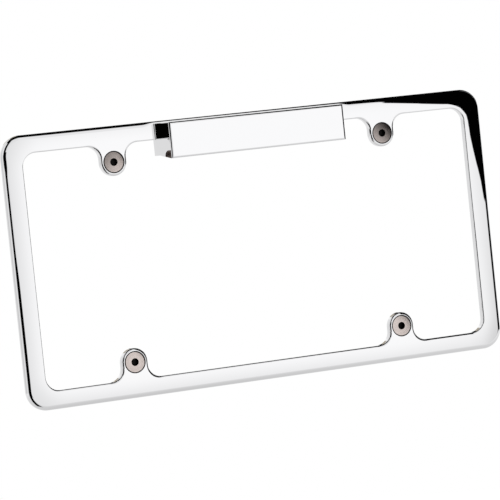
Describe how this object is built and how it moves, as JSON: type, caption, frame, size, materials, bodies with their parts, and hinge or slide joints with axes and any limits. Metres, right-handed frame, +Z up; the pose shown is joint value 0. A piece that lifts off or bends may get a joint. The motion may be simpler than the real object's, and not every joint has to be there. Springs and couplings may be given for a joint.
{
  "type": "number plate holder",
  "caption": "Polished one-piece frame for a flat number plate, with screw ears, flat-head screws and a lamp hood over the plate.",
  "frame": {"origin": "centre of the four plate screws, on the back face where the plate seats", "axes": "+X to the right seen from the front, +Y back towards the car, +Z up; the face looks along -Y"},
  "size_m": [0.3166, 0.0316, 0.164],
  "materials": {
    "polished_aluminium": "mirror polished",
    "screw_steel": "turned, bare",
    "clear_lens": "clear",
    "black_rubber": "matte",
    "small_screw_steel": "plain",
    "circuit_board": "solder mask",
    "diode_body": "moulded",
    "tinned_brass": "tinned"
  },
  "bodies": {
    "root": {"frame": "polished_aluminium", "plate_screw_top_left": "screw_steel", "plate_screw_top_right": "screw_steel", "plate_screw_bottom_left": "screw_steel", "plate_screw_bottom_right": "screw_steel", "lamp_lens": "clear_lens", "lens_gasket": "black_rubber", "lens_screw_left": "small_screw_steel", "lens_screw_right": "small_screw_steel", "lamp_board": "circuit_board", "board_screw_left": "small_screw_steel", "board_screw_right": "small_screw_steel", "lamp_led_1": "diode_body", "lamp_led_2": "diode_body", "lamp_led_3": "diode_body", "lamp_led_4": "diode_body", "lamp_led_5": "diode_body", "lamp_led_6": "diode_body", "lamp_terminal_pos": "tinned_brass", "lamp_terminal_neg": "tinned_brass", "wire_grommet": "black_rubber"}
  },
  "joints": []
}
